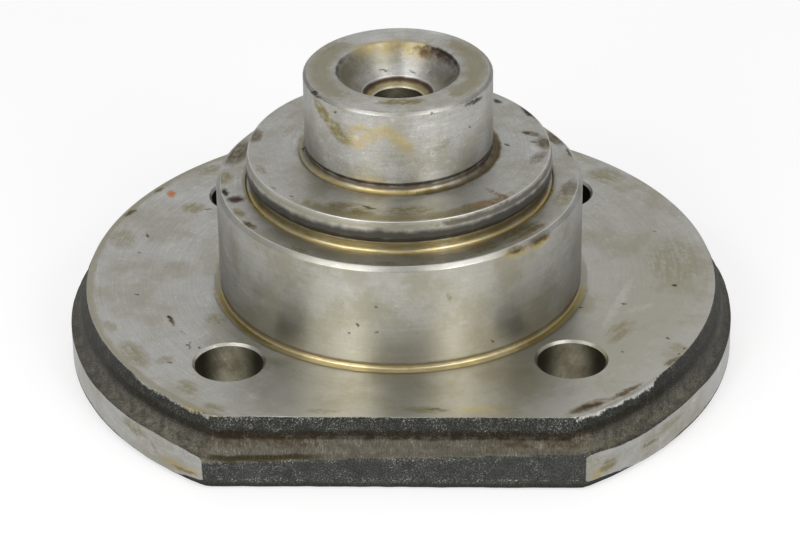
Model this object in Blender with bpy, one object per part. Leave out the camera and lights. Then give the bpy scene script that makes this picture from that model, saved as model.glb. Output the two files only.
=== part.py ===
"""Steering pivot pin: a drop forged flange with a stem turned on it in three steps.

The pin is made here in the order of the shop. The forging comes first, a flange with
one side cut off flat and a thick stem. The turned form then takes off everything that
stands outside it, and the bolt holes are drilled last.

Metres, +Z up. The origin is on the pin's axis, on the underside of the flange.
The flat side of the flange faces -Y.
"""

import math

import bmesh
import bpy

# Flange, turned sizes
FLANGE_DIAMETER = 0.1650
FLANGE_THICKNESS = 0.0180
FACE_INSET = 0.0043
FACE_CHAMFER_ANGLE = math.radians(24)
FACE_CHAMFER_REACH = 0.0042

# Flange, forged sizes
FORGED_TOP_INSET = 0.0039
FORGED_DRAFT_ANGLE = math.radians(14)
LOWER_DIE_STOCK = 0.0008
FLAT_CUT_DEPTH = 0.0134
FLAT_SLOPE_WIDTH = 0.0038
SHEARED_LAND_BOTTOM = 0.0085
SHEARED_LAND_TOP = 0.0138
SHEARED_LAND_PROUD = 0.0004
SHOULDER_HEIGHT = 0.0018
CORNER_RADIUS = 0.0025
UNDERSIDE_RADIUS = 0.0016
MACHINING_STOCK = 0.0010

# Boss, the thick step next to the flange
BOSS_DIAMETER = 0.0900
BOSS_TOP = 0.0458
BOSS_CHAMFER = 0.0010
BOSS_RELIEF_HEIGHT = 0.0010
BOSS_RELIEF_DEPTH = 0.0004
BOSS_RELIEF_REACH = 0.0016

# Collar, the middle step with a long lead-in
COLLAR_DIAMETER = 0.0750
COLLAR_TOP = 0.0538
COLLAR_LEAD_WIDTH = 0.0005
COLLAR_LEAD_LENGTH = 0.0021
COLLAR_RELIEF_HEIGHT = 0.0031
COLLAR_RELIEF_DEPTH = 0.0009
COLLAR_RELIEF_REACH = 0.0003

# Pin, the journal at the end
PIN_DIAMETER = 0.0460
PIN_END = 0.0752
PIN_CHAMFER = 0.0007
PIN_RELIEF_HEIGHT = 0.0027
PIN_RELIEF_DEPTH = 0.0004
PIN_RELIEF_REACH = 0.0017

# Shape shared by the three undercuts: corner radius over width, over height, floor over depth
RELIEF_CORNER_SHARE = 0.75
RELIEF_CORNER_LIMIT = 0.60
RELIEF_FLOOR_SHARE = 0.50

# Grease bore in the end of the pin
BORE_DIAMETER = 0.0126
BORE_DEPTH = 0.0560
BORE_POINT_ANGLE = math.radians(118)
BORE_MOUTH_DIAMETER = 0.0165
BORE_MOUTH_DEPTH = 0.0015
COUNTERSINK_DIAMETER = 0.0300
COUNTERSINK_ANGLE = math.radians(90)

# Bolt holes, on the corners of a square
BOLT_HOLE_DIAMETER = 0.0165
BOLT_HOLE_CHAMFER = 0.0006
BOLT_SQUARE = 0.0820

# Fineness of the faceted surfaces
TURNING_STEPS = 84
HOLE_STEPS = 24
ARC_STEPS = 3
CORNER_STEPS = 4
CUT_CLEARANCE = 0.0020


def steel(name):
    """A plain steel material for the solid."""
    material = bpy.data.materials.new(name)
    material.use_nodes = True
    shader = material.node_tree.nodes["Principled BSDF"]
    shader.inputs["Base Color"].default_value = (0.34, 0.33, 0.30, 1.0)
    shader.inputs["Metallic"].default_value = 1.0
    shader.inputs["Roughness"].default_value = 0.38
    return material


def new_object(name, mesh):
    """An object in the scene that shows a mesh."""
    thing = bpy.data.objects.new(name, mesh)
    bpy.context.collection.objects.link(thing)
    return thing


def make_cutter(thing):
    """Keep a tool body out of the renders and draw it as wire."""
    thing.hide_render = True
    thing.display_type = "WIRE"
    return thing


def revolve(name, profile, steps):
    """Turn an outline of (radius, height) points, from axis to axis, with a Screw modifier."""
    mesh = bpy.data.meshes.new(name)
    vertices = [(radius, 0.0, height) for radius, height in profile]
    mesh.from_pydata(vertices, [(i, i + 1) for i in range(len(vertices) - 1)], [])
    thing = new_object(name, mesh)
    screw = thing.modifiers.new("turn", "SCREW")
    screw.axis = "Z"
    screw.angle = math.tau
    screw.steps = steps
    screw.render_steps = steps
    screw.use_merge_vertices = True
    screw.merge_threshold = 0.00001
    return thing


def boolean(thing, operation, tool):
    """Add an exact Boolean with a tool body."""
    modifier = thing.modifiers.new(operation.lower() + "_" + tool.name, "BOOLEAN")
    modifier.operation = operation
    modifier.solver = "EXACT"
    modifier.object = tool


def relief(cylinder_radius, face_height, height, depth, reach):
    """Points of the undercut between a cylinder and the face below it, from the top down."""
    corner = min(RELIEF_CORNER_SHARE * (depth + reach), RELIEF_CORNER_LIMIT * height)
    inner = cylinder_radius - depth
    floor = face_height - RELIEF_FLOOR_SHARE * depth
    points = [(cylinder_radius, face_height + height), (inner, face_height + height - depth)]
    for step in range(ARC_STEPS + 1):
        turn = 0.5 * math.pi * step / ARC_STEPS
        radius = inner + corner * (1.0 - math.cos(turn))
        level = floor + corner * (1.0 - math.sin(turn))
        points.append((radius, level))
    points.append((cylinder_radius + reach, face_height))
    return points


def turned_profile():
    """Outline of the turned form: down the outside, across the underside and up the bore."""
    pin_radius = PIN_DIAMETER / 2
    collar_radius = COLLAR_DIAMETER / 2
    boss_radius = BOSS_DIAMETER / 2
    flange_radius = FLANGE_DIAMETER / 2
    face_radius = flange_radius - FACE_INSET
    sink_radius = COUNTERSINK_DIAMETER / 2
    bore_radius = BORE_DIAMETER / 2
    mouth_radius = BORE_MOUTH_DIAMETER / 2
    sink_depth = (sink_radius - mouth_radius) / math.tan(COUNTERSINK_ANGLE / 2)
    mouth_level = PIN_END - sink_depth
    bore_floor = PIN_END - BORE_DEPTH
    point_depth = bore_radius / math.tan(BORE_POINT_ANGLE / 2)
    cone_radius = face_radius + FACE_CHAMFER_REACH * math.tan(FACE_CHAMFER_ANGLE)
    cone_level = FLANGE_THICKNESS - FACE_CHAMFER_REACH

    profile = [
        (0.0, bore_floor - point_depth),
        (bore_radius, bore_floor),
        (bore_radius, mouth_level - BORE_MOUTH_DEPTH),
        (mouth_radius, mouth_level),
        (sink_radius, PIN_END),
        (pin_radius - PIN_CHAMFER, PIN_END),
        (pin_radius, PIN_END - PIN_CHAMFER),
    ]
    profile += relief(pin_radius, COLLAR_TOP, PIN_RELIEF_HEIGHT, PIN_RELIEF_DEPTH, PIN_RELIEF_REACH)
    profile += [
        (collar_radius - COLLAR_LEAD_WIDTH, COLLAR_TOP),
        (collar_radius, COLLAR_TOP - COLLAR_LEAD_LENGTH),
    ]
    profile += relief(
        collar_radius, BOSS_TOP, COLLAR_RELIEF_HEIGHT, COLLAR_RELIEF_DEPTH, COLLAR_RELIEF_REACH
    )
    profile += [
        (boss_radius - BOSS_CHAMFER, BOSS_TOP),
        (boss_radius, BOSS_TOP - BOSS_CHAMFER),
    ]
    profile += relief(
        boss_radius, FLANGE_THICKNESS, BOSS_RELIEF_HEIGHT, BOSS_RELIEF_DEPTH, BOSS_RELIEF_REACH
    )
    profile += [
        (face_radius, FLANGE_THICKNESS),
        (cone_radius, cone_level),
        (flange_radius, cone_level),
        (flange_radius, -CUT_CLEARANCE),
        (0.0, -CUT_CLEARANCE),
    ]
    return profile


def corner_centre(radius, flat_distance):
    """Where the rounded corner between the circle and the flat has its centre, on the +X side."""
    y = -(flat_distance - CORNER_RADIUS)
    x = math.sqrt((radius - CORNER_RADIUS) ** 2 - y ** 2)
    return x, y


def shared_turns(rings):
    """Directions round the flange that every ring has, in step with the turned surfaces."""
    step = math.tau / TURNING_STEPS
    corners = [corner_centre(radius, flat_distance) for radius, flat_distance, _ in rings]
    start = max(math.atan2(y, x) for x, y in corners)
    first = math.floor(start / step) + 1
    last = TURNING_STEPS // 2 - first
    return [step * number for number in range(first, last + 1)]


def flat_sided_ring(radius, flat_distance, level, turns):
    """Points of a circle with one side cut off flat at -Y and its two corners rounded."""
    x, y = corner_centre(radius, flat_distance)
    start = math.atan2(y, x)
    ring = [(radius * math.cos(t), radius * math.sin(t), level) for t in turns]
    sweep = 0.5 * math.pi + start
    corner = []
    for step in range(CORNER_STEPS + 1):
        turn = -0.5 * math.pi + sweep * step / CORNER_STEPS
        corner.append((x + CORNER_RADIUS * math.cos(turn), y + CORNER_RADIUS * math.sin(turn)))
    ring += [(-px, py, level) for px, py in reversed(corner)]
    ring += [(px, py, level) for px, py in corner]
    return ring


def forging_rings():
    """Outlines of the forging from the underside up, as (radius, flat distance, height)."""
    lower_radius = FLANGE_DIAMETER / 2 + LOWER_DIE_STOCK
    top_radius = FLANGE_DIAMETER / 2 - FORGED_TOP_INSET
    land_flat = FLANGE_DIAMETER / 2 - FLAT_CUT_DEPTH
    lower_flat = land_flat - SHEARED_LAND_PROUD
    blank_top = FLANGE_THICKNESS + MACHINING_STOCK

    def upper_radius(level):
        return top_radius + (FLANGE_THICKNESS - level) * math.tan(FORGED_DRAFT_ANGLE)

    rings = []
    for step in range(ARC_STEPS + 1):
        turn = 0.5 * math.pi * step / ARC_STEPS
        inset = UNDERSIDE_RADIUS * (1.0 - math.sin(turn))
        level = UNDERSIDE_RADIUS * (1.0 - math.cos(turn))
        rings.append((lower_radius - inset, lower_flat - inset, level))
    rings.append((lower_radius, lower_flat, SHEARED_LAND_BOTTOM - SHEARED_LAND_PROUD))
    rings.append((lower_radius - SHEARED_LAND_PROUD, land_flat, SHEARED_LAND_BOTTOM))
    shoulder_top = SHEARED_LAND_BOTTOM + SHOULDER_HEIGHT
    rings.append((upper_radius(shoulder_top), land_flat, shoulder_top))
    rings.append((upper_radius(SHEARED_LAND_TOP), land_flat, SHEARED_LAND_TOP))
    step_level = SHEARED_LAND_TOP + SHEARED_LAND_PROUD
    rings.append((upper_radius(step_level), lower_flat, step_level))
    flat_top = land_flat - FLAT_SLOPE_WIDTH
    slope = (flat_top - lower_flat) / (FLANGE_THICKNESS - step_level)
    blank_flat = flat_top + slope * MACHINING_STOCK
    rings.append((upper_radius(blank_top), blank_flat, blank_top))
    return rings


def forged_blank(name):
    """The forging: flat sided flange rings lofted together, with the thick stem on top."""
    rings = forging_rings()
    turns = shared_turns(rings)
    rows = [flat_sided_ring(*ring, turns) for ring in rings]
    stem_radius = BOSS_DIAMETER / 2 + MACHINING_STOCK
    count = len(rows[-1])
    stem = [
        (stem_radius * math.cos(turns[0] + math.tau * i / count),
         stem_radius * math.sin(turns[0] + math.tau * i / count))
        for i in range(count)
    ]
    for level in (FLANGE_THICKNESS + MACHINING_STOCK, PIN_END + MACHINING_STOCK):
        rows.append([(x, y, level) for x, y in stem])

    blank = bmesh.new()
    loops = [[blank.verts.new(point) for point in row] for row in rows]
    for lower, upper in zip(loops, loops[1:]):
        for i in range(len(lower)):
            j = (i + 1) % len(lower)
            blank.faces.new((lower[i], lower[j], upper[j], upper[i]))
    blank.faces.new(list(reversed(loops[0])))
    blank.faces.new(loops[-1])
    mesh = bpy.data.meshes.new(name)
    blank.to_mesh(mesh)
    blank.free()
    mesh.shade_smooth()
    mesh.set_sharp_from_angle(angle=math.radians(30))
    return new_object(name, mesh)


def bolt_drill():
    """A drill with its chamfer, standing on the axis and through the flange."""
    radius = BOLT_HOLE_DIAMETER / 2
    mouth = FLANGE_THICKNESS + CUT_CLEARANCE
    profile = [
        (0.0, mouth),
        (radius + BOLT_HOLE_CHAMFER + CUT_CLEARANCE, mouth),
        (radius, FLANGE_THICKNESS - BOLT_HOLE_CHAMFER),
        (radius, -CUT_CLEARANCE),
        (0.0, -CUT_CLEARANCE),
    ]
    return revolve("bolt_drill_1", profile, HOLE_STEPS)


def drill_bolt_holes(thing):
    """Four holes on the corners of a square about the axis."""
    drill = make_cutter(bolt_drill())
    for number in range(4):
        if number:
            drill = make_cutter(drill.copy())
            bpy.context.collection.objects.link(drill)
            drill.name = f"bolt_drill_{number + 1}"
        turn = math.radians(45 + 90 * number)
        reach = BOLT_SQUARE / math.sqrt(2)
        drill.location = (reach * math.cos(turn), reach * math.sin(turn), 0.0)
        boolean(thing, "DIFFERENCE", drill)


def build():
    """Forge, turn and drill the pin."""
    for thing in list(bpy.data.objects):
        bpy.data.objects.remove(thing, do_unlink=True)
    pin = forged_blank("pivot_pin")
    pin.data.materials.append(steel("machined_steel"))
    turned_form = make_cutter(revolve("turned_form", turned_profile(), TURNING_STEPS))
    boolean(pin, "INTERSECT", turned_form)
    drill_bolt_holes(pin)


build()
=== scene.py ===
import math

import bpy
import numpy as np
from mathutils import Matrix, Vector


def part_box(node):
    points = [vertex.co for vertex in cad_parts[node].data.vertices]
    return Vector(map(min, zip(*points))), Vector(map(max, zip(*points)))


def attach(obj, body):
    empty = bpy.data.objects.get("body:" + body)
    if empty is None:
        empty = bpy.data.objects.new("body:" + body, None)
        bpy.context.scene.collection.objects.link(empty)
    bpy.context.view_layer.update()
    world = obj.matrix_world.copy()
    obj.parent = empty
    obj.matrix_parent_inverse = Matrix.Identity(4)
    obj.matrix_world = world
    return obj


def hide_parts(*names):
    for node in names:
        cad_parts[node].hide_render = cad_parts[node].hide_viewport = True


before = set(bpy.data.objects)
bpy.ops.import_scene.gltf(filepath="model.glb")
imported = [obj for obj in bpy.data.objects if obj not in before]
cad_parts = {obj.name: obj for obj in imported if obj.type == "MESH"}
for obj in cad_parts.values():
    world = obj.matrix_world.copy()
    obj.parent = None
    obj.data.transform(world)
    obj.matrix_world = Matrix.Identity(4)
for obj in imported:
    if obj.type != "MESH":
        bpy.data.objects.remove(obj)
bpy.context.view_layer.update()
nodeLow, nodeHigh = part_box("pivot_pin")
mm = 0.001

# The photograph's frame, and the camera that was fitted to its edges (millimetres, degrees)
photo = dict(width=800, height=533, focalPixels=3411.0, sensor=36.0)
shot = dict(place=(6.7, -733.6, 450.7), pitch=30.416, yaw=0.533, roll=-0.769)

# Sizes in millimetres. The outer ones come from the frame.
flange = dict(
    radius=nodeHigh[0] / mm,
    flat=-nodeLow[1] / mm,
    thickness=18.0,
    faceInset=4.3,
    chamferAngle=24.0,
    chamferReach=4.2,
    forgedTopInset=3.9,
    forgedDraft=14.0,
    flatSlope=3.3,
    landLow=8.5,
    landHigh=14.0,
    landProud=0.4,
    shoulder=1.8,
    lowerStock=0.8,
    cornerRadius=2.5,
    underRadius=2.8,
    flatUnder=1.1,
)
stem = dict(
    bossRadius=45.0,
    bossTop=45.8,
    bossChamfer=1.0,
    bossRelief=(1.0, 0.4, 1.6),
    collarRadius=37.5,
    collarTop=53.8,
    collarLead=(0.5, 2.1),
    collarRelief=(3.1, 0.9, 0.3),
    pinRadius=23.0,
    pinEnd=nodeHigh[2] / mm,
    pinChamfer=0.7,
    pinRelief=(2.7, 0.4, 1.7),
)
bore = dict(radius=6.3, depth=56.0, pointDrop=3.8, mouthRadius=8.25, mouthDepth=1.5, sinkRadius=15.0)
bolts = dict(radius=8.25, chamfer=0.6, square=82.0, segments=96, overrun=3.0)
grid = dict(around=400, edgeRound=0.16, edgeSteps=3, guard=0.25, faceStep=1.6, wallStep=0.32)
forging = dict(
    swell=0.13, lumps=0.10, grain=0.05, shear=0.08, shoulderWave=0.8, shoulderTilt=0.03, skew=1.5,
    underside=0.12, seed=11,
)


# Smooth value noise: random numbers on a lattice of the given cell, blended with 3t^2 - 2t^3.
def smoothNoise(points, cell, seed):
    scaled = points / np.asarray(cell, float)
    base = np.floor(scaled).astype(np.int64)
    blend = scaled - base
    blend = blend * blend * (3.0 - 2.0 * blend)
    total = np.zeros(points.shape[:-1])
    for corner in range(8):
        offset = np.array([corner & 1, corner >> 1 & 1, corner >> 2 & 1])
        key = ((base + offset) * np.array([73856093, 19349663, 83492791])).sum(-1) + seed * 26544357
        key = (key ^ (key >> 13)) * 12741261
        value = ((key ^ (key >> 16)) & 0xFFFF) / 32767.5 - 1.0
        total += value * np.prod(np.where(offset, blend, 1.0 - blend), axis=-1)
    return total


# Radius of a circle R cut by the line y = -d, with the corners rounded by c. With p the angle
# from -Y: d / cos p on the line, R on the circle, and the far crossing of the corner circle between.
def cutCircle(theta, radius, flat, corner):
    turn = np.abs((theta + 0.5 * np.pi + np.pi) % (2.0 * np.pi) - np.pi)
    depth = flat - corner
    side = np.sqrt(np.maximum((radius - corner) ** 2 - depth**2, 0.0))
    onLine = flat / np.maximum(np.cos(turn), 0.05)
    middle = side * np.sin(turn) + depth * np.cos(turn)
    onCorner = middle + np.sqrt(np.maximum(middle**2 - (radius - corner) ** 2 + corner**2, 0.0))
    result = np.where(flat * np.tan(np.minimum(turn, 1.5)) <= side, onLine, onCorner)
    return np.where(turn >= np.arctan2(side, depth), radius, result)


# Radius and flat distance of the forging against height, as straight runs between its levels.
def forgedSection(height):
    draft = math.tan(math.radians(flange["forgedDraft"]))
    top = flange["thickness"]
    lowRadius = flange["radius"] + flange["lowerStock"]
    lowFlat = flange["flat"]
    shoulderTop = flange["landLow"] + flange["shoulder"]
    stepLevel = flange["landHigh"] + flange["landProud"]
    upper = lambda level: flange["radius"] - flange["forgedTopInset"] + (top - level) * draft
    arc = np.radians([0.0, 22.5, 45.0, 67.5, 90.0])
    levels = list(flange["underRadius"] * (1.0 - np.cos(arc)))
    radii = list(lowRadius - flange["underRadius"] * (1.0 - np.sin(arc)))
    flatLevels = list(flange["flatUnder"] * (1.0 - np.cos(arc)))
    flats = list(lowFlat - flange["flatUnder"] * (1.0 - np.sin(arc)))
    for level, radius, flat in (
        (flange["landLow"] - flange["landProud"], lowRadius, lowFlat),
        (flange["landLow"], lowRadius - flange["landProud"], lowFlat - flange["landProud"]),
        (shoulderTop, upper(shoulderTop), lowFlat - flange["landProud"]),
        (flange["landHigh"], upper(flange["landHigh"]), lowFlat - flange["landProud"]),
        (stepLevel, upper(stepLevel), lowFlat - 2.0 * flange["landProud"]),
        (top, upper(top), flange["flat"] - flange["flatSlope"]),
    ):
        levels.append(level)
        flatLevels.append(level)
        radii.append(radius)
        flats.append(flat)
    return np.interp(height, levels, radii), np.interp(height, flatLevels, flats)


# Forged wall: the cut circle at that height, its flat a little out of square, with waves, lumps
# and grain.
def forgedRadius(theta, height):
    flatPoint = np.stack([80.0 * np.cos(theta), 80.0 * np.sin(theta), np.zeros_like(theta)], -1)
    wave = forging["shoulderWave"] * smoothNoise(flatPoint, 14.0, forging["seed"])
    turn = np.abs((theta + 0.5 * np.pi + np.pi) % (2.0 * np.pi) - np.pi)
    onFlat = np.clip((0.68 - turn) / 0.14, 0.0, 1.0)
    wave -= forging["shoulderTilt"] * 80.0 * np.cos(theta) * onFlat
    near = np.exp(-(((height - flange["landLow"]) / 3.0) ** 2))
    radius, flat = forgedSection(height + wave * near)
    flat = flat * (1.0 + math.tan(math.radians(forging["skew"])) * np.clip(np.cos(theta), -0.55, 0.55))
    outline = cutCircle(theta, radius, flat, flange["cornerRadius"])
    spot = np.stack([outline * np.cos(theta), outline * np.sin(theta), height], -1)
    rough = forging["swell"] * smoothNoise(spot, 11.0, forging["seed"] + 1)
    rough += forging["lumps"] * smoothNoise(spot, 3.1, forging["seed"] + 2)
    rough += forging["grain"] * smoothNoise(spot, 1.2, forging["seed"] + 3)
    onLand = (height > flange["landLow"]) & (height < flange["landHigh"])
    tear = smoothNoise(spot, (1.5, 1.5, 9.0), forging["seed"] + 4)
    return outline + rough + np.where(onLand, forging["shear"] * tear, 0.0)


# Turned wall: the chamfer cone near the flange face, then the plain rim cylinder.
def turnedRadius(height):
    face = flange["radius"] - flange["faceInset"]
    cone = face + (flange["thickness"] - height) * math.tan(math.radians(flange["chamferAngle"]))
    return np.where(height > flange["thickness"] - flange["chamferReach"], cone, flange["radius"])


# Undercut between a cylinder and the face below it: a short run in, a quarter arc, a run out.
def relief(cylinder, face, height, depth, reach):
    corner = min(0.75 * (depth + reach), 0.6 * height)
    inner = cylinder - depth
    floor = face - 0.5 * depth
    turns = np.radians([0.0, 22.5, 45.0, 67.5, 90.0])
    points = [(cylinder, face + height, True), (inner, face + height - depth, False)]
    for t in turns:
        points.append((inner + corner * (1 - math.cos(t)), floor + corner * (1 - math.sin(t)), False))
    return points + [(cylinder + reach, face, True)]


# The stem's outline from the bottom of the bore to the flange face: radius, height, and if the
# edge there is broken.
def stemOutline():
    end = stem["pinEnd"]
    mouth = end - (bore["sinkRadius"] - bore["mouthRadius"])
    points = [
        (0.0, end - bore["depth"] - bore["pointDrop"], False),
        (bore["radius"], end - bore["depth"], False),
        (bore["radius"], mouth - bore["mouthDepth"], True),
        (bore["mouthRadius"], mouth, True),
        (bore["sinkRadius"], end, True),
        (stem["pinRadius"] - stem["pinChamfer"], end, True),
        (stem["pinRadius"], end - stem["pinChamfer"], True),
    ]
    points += relief(stem["pinRadius"], stem["collarTop"], *stem["pinRelief"])
    leadWidth, leadLength = stem["collarLead"]
    points.append((stem["collarRadius"] - leadWidth, stem["collarTop"], True))
    points.append((stem["collarRadius"], stem["collarTop"] - leadLength, True))
    points += relief(stem["collarRadius"], stem["bossTop"], *stem["collarRelief"])
    points.append((stem["bossRadius"] - stem["bossChamfer"], stem["bossTop"], True))
    points.append((stem["bossRadius"], stem["bossTop"] - stem["bossChamfer"], True))
    points += relief(stem["bossRadius"], flange["thickness"], *stem["bossRelief"])
    return points


# Rounds each marked corner with a quadratic curve between two points at the rounding's reach,
# keeps a guard point before and after it, and adds points along the long runs.
def brokenEdges(outline):
    flat = np.array([(r, z) for r, z, _ in outline])
    result = [flat[0]]
    for i in range(1, len(flat) - 1):
        if not outline[i][2]:
            result.append(flat[i])
            continue
        before, after = flat[i - 1] - flat[i], flat[i + 1] - flat[i]
        lengths = np.linalg.norm(before), np.linalg.norm(after)
        reach = min(grid["edgeRound"], 0.3 * min(lengths))
        start, stop = flat[i] + before / lengths[0] * reach, flat[i] + after / lengths[1] * reach
        if lengths[0] > 4.0 * grid["guard"]:
            result.append(flat[i] + before / lengths[0] * (reach + grid["guard"]))
        for t in np.linspace(0.0, 1.0, grid["edgeSteps"] + 1):
            result.append((1 - t) ** 2 * start + 2 * t * (1 - t) * flat[i] + t**2 * stop)
        if lengths[1] > 4.0 * grid["guard"]:
            result.append(flat[i] + after / lengths[1] * (reach + grid["guard"]))
    result.append(flat[-1])
    filled = [result[0]]
    for point in result[1:]:
        gap = np.linalg.norm(point - filled[-1])
        inBore = max(point[0], filled[-1][0]) < bore["radius"] + 0.01
        extra = 4 if inBore else int(gap // grid["faceStep"])
        start = filled[-1]
        if gap > grid["faceStep"]:
            filled += [start + (point - start) * k / (extra + 1) for k in range(1, extra + 1)]
        filled.append(point)
    return np.array(filled)


# The whole surface: rows of radius and height for each direction, from the bore's floor out over
# the stem and the flange face, down the wall, where the lesser of turned and forged radius holds,
# and back across the underside.
def pinRows():
    theta = 2.0 * np.pi * np.arange(grid["around"]) / grid["around"]
    ones = np.ones_like(theta)
    profile = brokenEdges(stemOutline())
    radii = [r * ones for r, _ in profile[1:]]
    heights = [z * ones for _, z in profile[1:]]
    top = flange["thickness"]
    start = profile[-1][0]
    edge = np.minimum(turnedRadius(top * ones), forgedRadius(theta, top * ones))
    steps = int((flange["radius"] - start) / grid["faceStep"])
    for k in range(1, steps + 1):
        radii.append(start + (edge - start) * k / steps)
        heights.append(top * ones)
    for level in np.linspace(top, 0.0, int(top / grid["wallStep"]) + 1)[1:]:
        radii.append(np.minimum(turnedRadius(level * ones), forgedRadius(theta, level * ones)))
        heights.append(level * ones)
    lowEdge = radii[-1]
    for share in (0.985, 0.95, 0.85, 0.7, 0.5, 0.3, 0.12):
        radii.append(share * lowEdge)
        spot = np.stack([radii[-1] * np.cos(theta), radii[-1] * np.sin(theta), 0 * theta], -1)
        bumps = 0.5 + 0.5 * smoothNoise(spot, 9.0, forging["seed"] + 5)
        heights.append(forging["underside"] * bumps * (share < 0.98))
    radii, heights = np.array(radii), np.array(heights)
    return np.stack([radii * np.cos(theta), radii * np.sin(theta), heights], -1), profile[0][1]


# A closed surface from rows round the axis: quads between rows and a fan at each pole.
def closedFromRows(name, rows, firstPole, lastPole):
    count, around = rows.shape[:2]
    vertices = np.concatenate([rows.reshape(-1, 3), [[0, 0, firstPole], [0, 0, lastPole]]]) * mm
    here = np.arange(around)
    after = (here + 1) % around
    base = (np.arange(count - 1) * around)[:, None]
    quads = np.stack([base + here, base + around + here, base + around + after, base + after], -1)
    quads = quads.reshape(-1, 4)
    first, last = count * around, count * around + 1
    fans = np.concatenate([
        np.stack([here * 0 + first, here, after], -1),
        np.stack([here * 0 + last, (count - 1) * around + after, (count - 1) * around + here], -1),
    ])
    surface = bpy.data.meshes.new(name)
    surface.vertices.add(len(vertices))
    surface.vertices.foreach_set("co", vertices.ravel())
    surface.loops.add(quads.size + fans.size)
    surface.loops.foreach_set("vertex_index", np.concatenate([quads.ravel(), fans.ravel()]))
    sizes = np.concatenate([np.full(len(quads), 4), np.full(len(fans), 3)])
    surface.polygons.add(len(sizes))
    surface.polygons.foreach_set("loop_start", np.concatenate([[0], np.cumsum(sizes)[:-1]]))
    surface.update(calc_edges=True)
    surface.validate()
    return surface


def addObject(name, data):
    thing = bpy.data.objects.new(name, data)
    bpy.context.collection.objects.link(thing)
    return thing


# Four drills as turned profiles about the corners of the bolt square.
def boltDrills():
    turns = 2.0 * np.pi * np.arange(bolts["segments"]) / bolts["segments"]
    top, over = flange["thickness"], bolts["overrun"]
    outline = [
        (bolts["radius"] + bolts["chamfer"] + over, top + over),
        (bolts["radius"] + bolts["chamfer"], top),
        (bolts["radius"], top - bolts["chamfer"]),
        (bolts["radius"], -over),
    ]
    drills = []
    for sideX in (-1, 1):
        for sideY in (-1, 1):
            centre = np.array([sideX, sideY]) * 0.5 * bolts["square"]
            rows = np.array([
                np.stack([r * np.cos(turns), r * np.sin(turns), z + 0 * turns], -1) for r, z in outline
            ])
            drill = addObject("boltDrill", closedFromRows("boltDrill", rows, top + over, -over))
            drill.data.transform(Matrix.Translation((*(centre * mm), 0.0)))
            drills.append(drill)
    return drills


# Signed stock left on the turned surface, in mm: plus where the tool cut, minus where the forging's
# skin stays. The sheared land gets a mask of its own, from where a point lies.
def markSurfaces(surface):
    spots = np.empty(len(surface.vertices) * 3)
    surface.vertices.foreach_get("co", spots)
    x, y, z = (spots.reshape(-1, 3) / mm).T
    radius, theta = np.hypot(x, y), np.arctan2(y, x)
    turned, forged = turnedRadius(z), forgedRadius(theta, z)
    inside = radius < np.minimum(turned, forged) - 0.4
    stock = np.where(inside, np.where(z > 0.4, 2.0, -2.0), np.clip(forged - turned, -2.0, 2.0))
    onFlat = (y < -flange["flat"] + 2.8) & (np.abs(x) < 47.0)
    shoulder = flange["landLow"] + forging["shoulderTilt"] * x
    sheared = onFlat & (z > shoulder - 0.1) & (z < flange["landHigh"] + 0.2)
    for name, values in (("stock", stock), ("sheared", sheared)):
        layer = surface.attributes.new(name, "FLOAT", "POINT")
        layer.data.foreach_set("value", np.asarray(values, np.float32))


# The pin's surface with the four bolt holes cut through it.
def makePin():
    rows, boreFloor = pinRows()
    pin = addObject("pivotPin", closedFromRows("pivotPin", rows, boreFloor, forging["underside"]))
    drills = boltDrills()
    for drill in drills:
        cut = pin.modifiers.new("boltHole", "BOOLEAN")
        cut.operation, cut.solver, cut.object = "DIFFERENCE", "EXACT", drill
    bpy.context.view_layer.update()
    solid = bpy.data.meshes.new_from_object(pin.evaluated_get(bpy.context.evaluated_depsgraph_get()))
    pin.modifiers.clear()
    pin.data = solid
    for drill in drills:
        bpy.data.objects.remove(drill)
    markSurfaces(solid)
    solid.shade_smooth()
    solid.set_sharp_from_angle(angle=math.radians(42.0))
    triangles = sum(len(face.vertices) - 2 for face in solid.polygons)
    print("pivot pin:", len(solid.vertices), "vertices", triangles, "triangles")
    return pin


# The fitted camera: forward looks down by the pitch, the whole turns by the yaw, then rolls.
def cameraAxes():
    pitch, yaw, roll = (math.radians(shot[key]) for key in ("pitch", "yaw", "roll"))
    turn = np.array([[math.cos(yaw), -math.sin(yaw), 0], [math.sin(yaw), math.cos(yaw), 0], [0, 0, 1]])
    ahead = turn @ (0, math.cos(pitch), -math.sin(pitch))
    up = turn @ (0, math.sin(pitch), math.cos(pitch))
    right = turn @ (1, 0, 0)
    tilted = math.cos(roll) * right + math.sin(roll) * up
    return tilted, math.cos(roll) * up - math.sin(roll) * right, ahead


def placeCamera():
    right, up, ahead = cameraAxes()
    camera = addObject("camera", bpy.data.cameras.new("camera"))
    camera.data.sensor_width = photo["sensor"]
    camera.data.lens = photo["focalPixels"] / photo["width"] * photo["sensor"]
    camera.data.clip_start, camera.data.clip_end = 0.05, 20.0
    matrix = Matrix(np.stack([right, up, -ahead], 1).tolist()).to_4x4()
    matrix.translation = Vector(shot["place"]) * mm
    camera.matrix_world = matrix
    bpy.context.scene.camera = camera


# Where the ray through a photo pixel meets one of the pin's surfaces, in mm.
surfaceLevels = dict(
    face=flange["thickness"], step=stem["bossTop"], collar=stem["collarTop"], end=stem["pinEnd"],
)
surfaceRadii = dict(boss=stem["bossRadius"], pin=stem["pinRadius"], rim=flange["radius"])


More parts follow.
